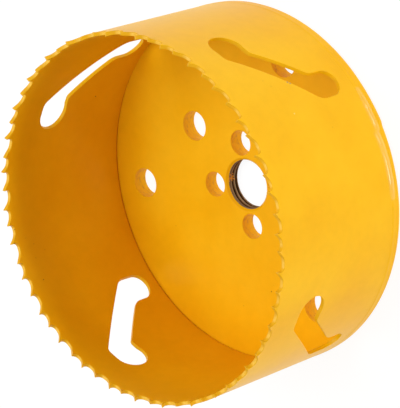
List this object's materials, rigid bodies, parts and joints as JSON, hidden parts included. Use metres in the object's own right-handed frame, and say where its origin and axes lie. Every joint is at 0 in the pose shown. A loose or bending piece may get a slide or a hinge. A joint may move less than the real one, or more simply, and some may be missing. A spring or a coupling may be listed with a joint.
{
  "type": "hole saw",
  "caption": "Deep cup hole saw: a rolled toothed wall with slanted slots, welded to a thick drilled plate with a threaded bore.",
  "frame": {"origin": "centre of the bore at the back face of the plate", "axes": "+Z along the bore axis towards the tooth tips, +X through one outer hole and one drive-pin hole"},
  "size_m": [0.102, 0.102, 0.0491],
  "materials": {
    "painted_steel": "glossy yellow enamel"
  },
  "bodies": {
    "root": {"saw_shell": "painted_steel", "back_plate": "painted_steel"}
  },
  "joints": []
}
